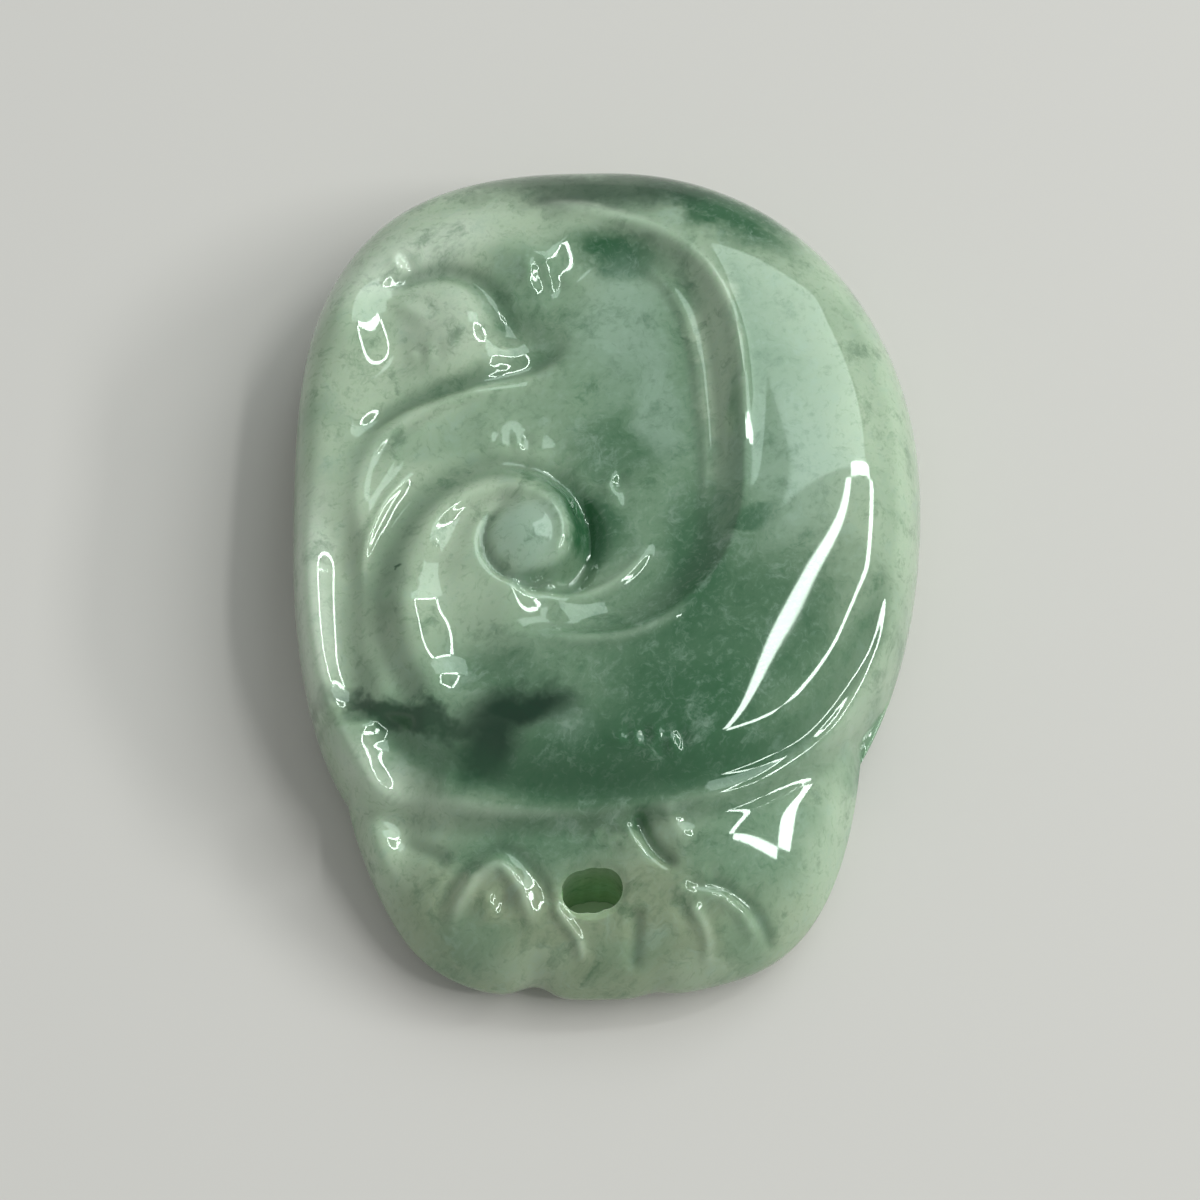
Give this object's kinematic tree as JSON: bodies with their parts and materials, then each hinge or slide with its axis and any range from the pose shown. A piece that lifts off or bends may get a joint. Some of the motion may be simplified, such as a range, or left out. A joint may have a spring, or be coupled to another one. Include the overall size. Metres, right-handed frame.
{
  "type": "carved jadeite ruyi pendant",
  "caption": "Oval jadeite pendant carved in relief with a spiralling ruyi whorl over a petalled tail, flat behind, with a small cord hole through the tail.",
  "frame": {"origin": "on the resting surface, under the middle of the pendant, which lies on its flat back", "axes": "+X across the pendant to its right as seen from the front, +Y along it from the cord hole up the carving, +Z out of the carved face"},
  "size_m": [0.0214, 0.0294, 0.0065],
  "materials": {
    "jadeite": "polished"
  },
  "bodies": {
    "root": {"pendant": "jadeite"}
  },
  "joints": []
}
